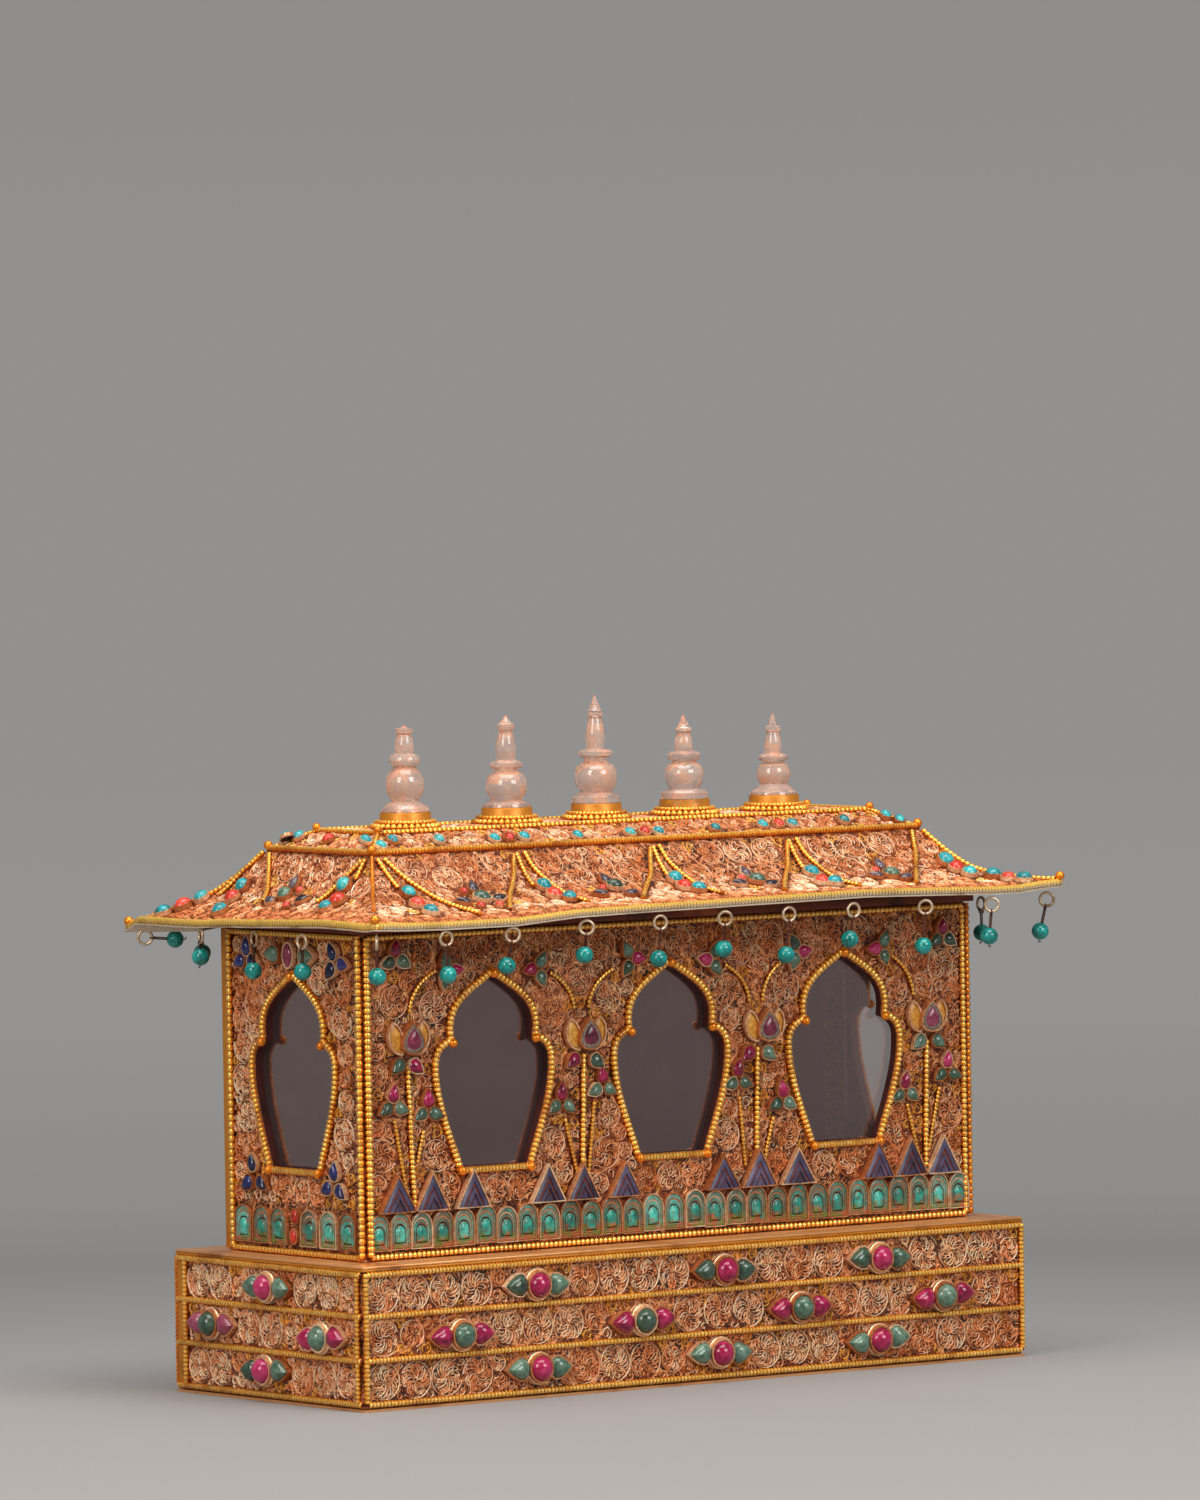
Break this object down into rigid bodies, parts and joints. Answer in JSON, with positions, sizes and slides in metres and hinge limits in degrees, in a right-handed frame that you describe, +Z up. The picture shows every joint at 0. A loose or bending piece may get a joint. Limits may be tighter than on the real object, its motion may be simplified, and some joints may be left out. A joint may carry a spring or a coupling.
{
  "type": "buddhist altar box",
  "caption": "Rectangular altar cabinet in copper filigree set with coloured stones, with arched windows, a hipped roof with crystal stupas, hanging beads and a hollow plinth.",
  "frame": {"origin": "centre of the plinth's underside, midway along its length and depth", "axes": "+X along the long side to the viewer's right, -Y out of the front with its windows, +Z up"},
  "size_m": [0.42, 0.2106, 0.3319],
  "materials": {
    "copper_filigree": "gilded copper wire filigree with set stones",
    "roof_filigree": "gilded copper wire filigree roof with coiled ropes",
    "copper_sheet": "satin copper sheet",
    "gilt": "gilt, soft shine",
    "dark_glass": "dark window glass",
    "crystal": "clear quartz, polished",
    "turquoise": "turquoise bead on a copper ring"
  },
  "bodies": {
    "root": {"back_wall": "copper_filigree", "base_plate": "copper_sheet", "crystal_stupa_1": "crystal", "crystal_stupa_2": "crystal", "crystal_stupa_3": "crystal", "crystal_stupa_4": "crystal", "crystal_stupa_5": "crystal", "front_pane_1": "dark_glass", "front_pane_2": "dark_glass", "front_pane_3": "dark_glass", "front_wall": "copper_filigree", "left_pane": "dark_glass", "left_wall": "copper_filigree", "pendant_back_1": "turquoise", "pendant_back_2": "turquoise", "pendant_back_3": "turquoise", "pendant_back_4": "turquoise", "pendant_back_5": "turquoise", "pendant_back_6": "turquoise", "pendant_back_7": "turquoise", "pendant_back_8": "turquoise", "pendant_back_9": "turquoise", "pendant_corner_1": "turquoise", "pendant_corner_2": "turquoise", "pendant_corner_3": "turquoise", "pendant_corner_4": "turquoise", "pendant_front_1": "turquoise", "pendant_front_2": "turquoise", "pendant_front_3": "turquoise", "pendant_front_4": "turquoise", "pendant_front_5": "turquoise", "pendant_front_6": "turquoise", "pendant_front_7": "turquoise", "pendant_front_8": "turquoise", "pendant_front_9": "turquoise", "pendant_left_1": "turquoise", "pendant_left_2": "turquoise", "pendant_left_3": "turquoise", "pendant_right_1": "turquoise", "pendant_right_2": "turquoise", "pendant_right_3": "turquoise", "plinth_box": "copper_filigree", "right_pane": "dark_glass", "right_wall": "copper_filigree", "roof": "roof_filigree", "soffit_tray": "copper_sheet", "stupa_collar_1": "gilt", "stupa_collar_2": "gilt", "stupa_collar_3": "gilt", "stupa_collar_4": "gilt", "stupa_collar_5": "gilt"}
  },
  "joints": []
}
